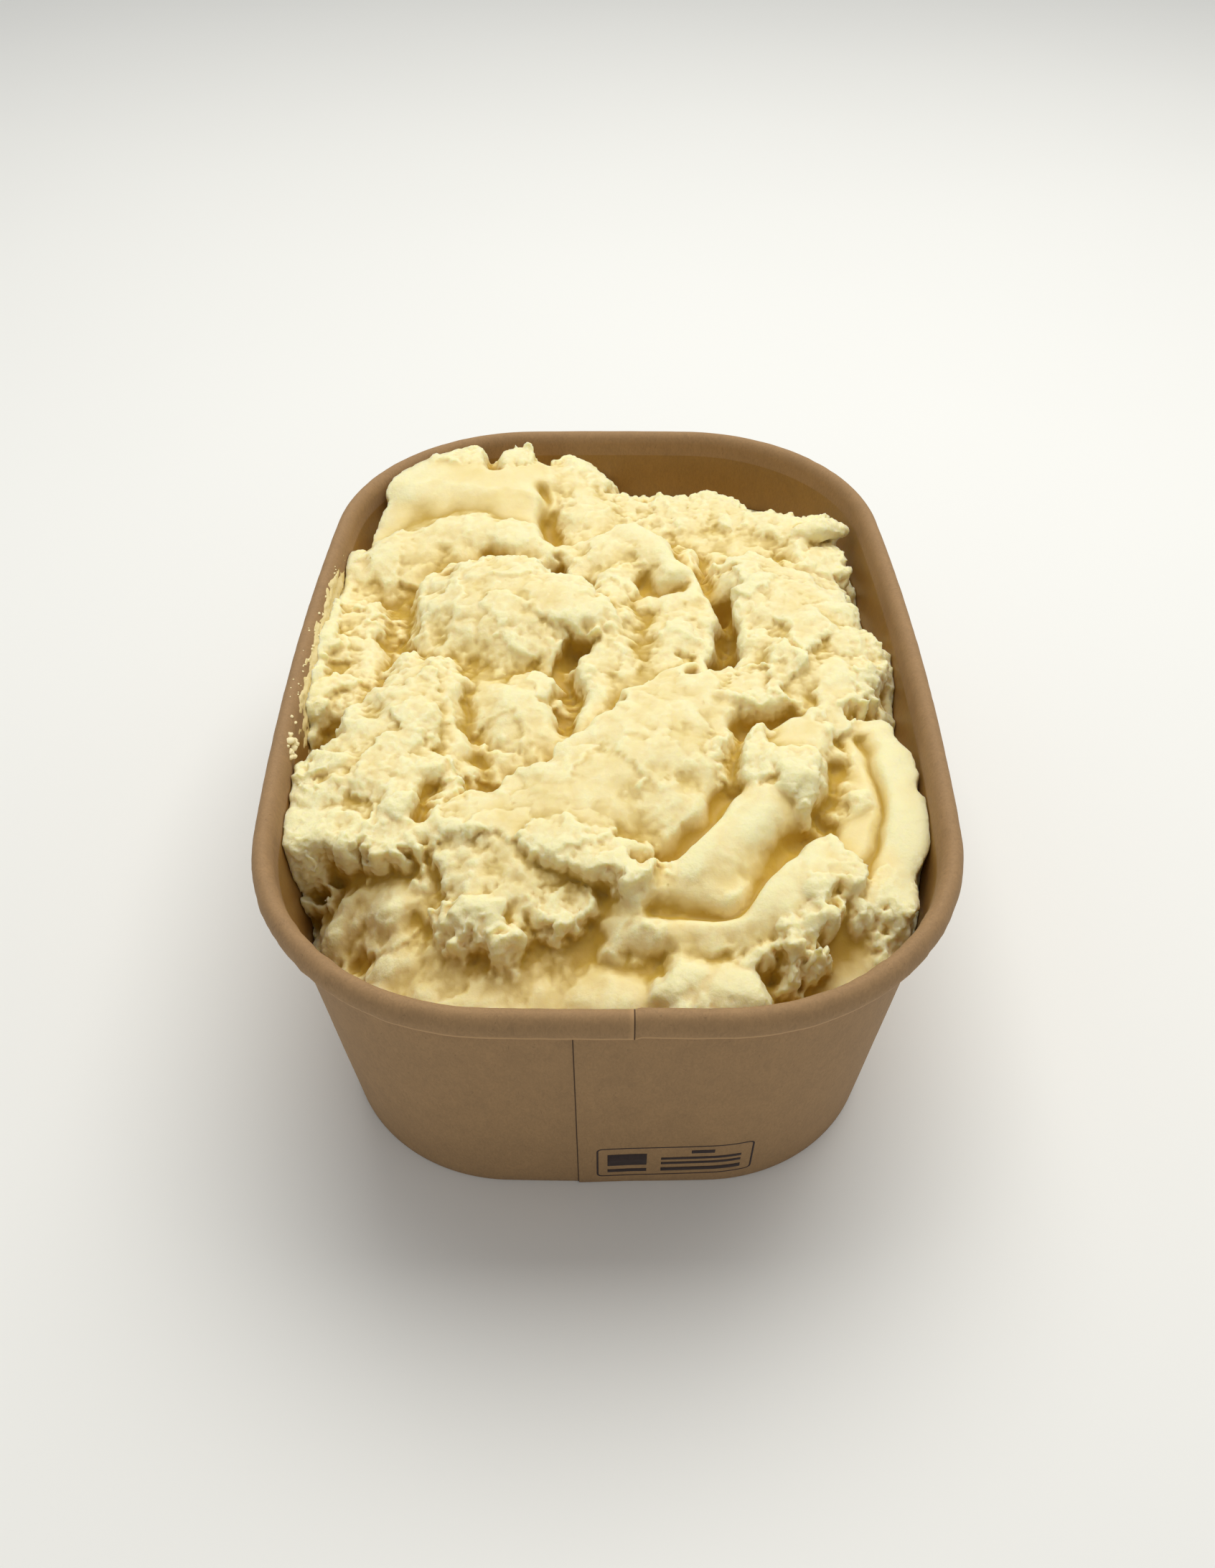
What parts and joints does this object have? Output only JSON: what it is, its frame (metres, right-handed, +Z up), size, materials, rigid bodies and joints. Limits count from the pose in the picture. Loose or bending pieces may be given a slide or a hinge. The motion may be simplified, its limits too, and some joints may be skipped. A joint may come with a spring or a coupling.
{
  "type": "mashed potato side in a paper bowl",
  "caption": "Heap of spooned mashed potato filling a rectangular kraft-paper bowl with rounded corners, a rolled rim and a recessed base.",
  "frame": {"origin": "middle of the foot's underside, on the surface that the bowl stands on", "axes": "+Z up, Y along the long side of the bowl with the lap seam at its -Y end, X across"},
  "size_m": [0.12, 0.172, 0.0621],
  "materials": {
    "kraft_outside": "unbleached kraft board with a fine fibre speckle, matt outside and lightly coated inside",
    "kraft_base": "unbleached kraft board, matt",
    "mash": "moist, soft and slightly translucent pale butter-yellow mash, smooth where swiped and crumbly where torn"
  },
  "bodies": {
    "root": {"sidewall": "kraft_outside", "base": "kraft_base", "mash": "mash"}
  },
  "joints": []
}
